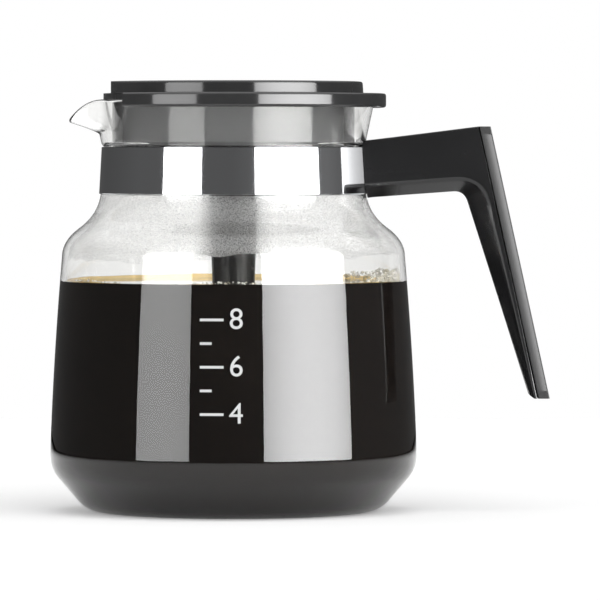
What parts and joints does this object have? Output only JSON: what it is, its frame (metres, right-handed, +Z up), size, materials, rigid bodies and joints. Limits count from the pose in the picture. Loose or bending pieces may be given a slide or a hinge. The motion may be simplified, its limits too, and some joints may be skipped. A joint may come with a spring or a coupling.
{
  "type": "glass coffee carafe",
  "caption": "Round glass coffee jug with a pulled spout, a polished steel neck band, a moulded handle and a lift-off lid with a mixing tube.",
  "frame": {"origin": "centre of the jug's flat foot, on the surface it stands on", "axes": "+Z up along the jug's axis, +X towards the handle, -X towards the spout, +Y to the side"},
  "size_m": [0.1935, 0.1424, 0.1667],
  "materials": {
    "clear_glass": "clear blown borosilicate glass, fire polished rim",
    "polished_steel": "polished stainless steel strip",
    "handle_plastic": "black moulded plastic, satin",
    "zinc_steel": "zinc plated steel",
    "lid_plastic": "black moulded plastic, half gloss",
    "tube_plastic": "black moulded plastic"
  },
  "bodies": {
    "jug": {"glass_jug": "clear_glass", "neck_band": "polished_steel", "handle_body": "handle_plastic", "handle_back_cover": "handle_plastic", "clamp_screw": "zinc_steel", "clamp_washer": "zinc_steel", "clamp_nut": "zinc_steel"},
    "lid": {"lid_body": "lid_plastic", "mixing_tube": "tube_plastic"}
  },
  "joints": [
    {"name": "lid_lift", "type": "slide", "parent": "jug", "child": "lid", "axis": [0, 0, 1], "range_m": [0, 0.16]}
  ]
}
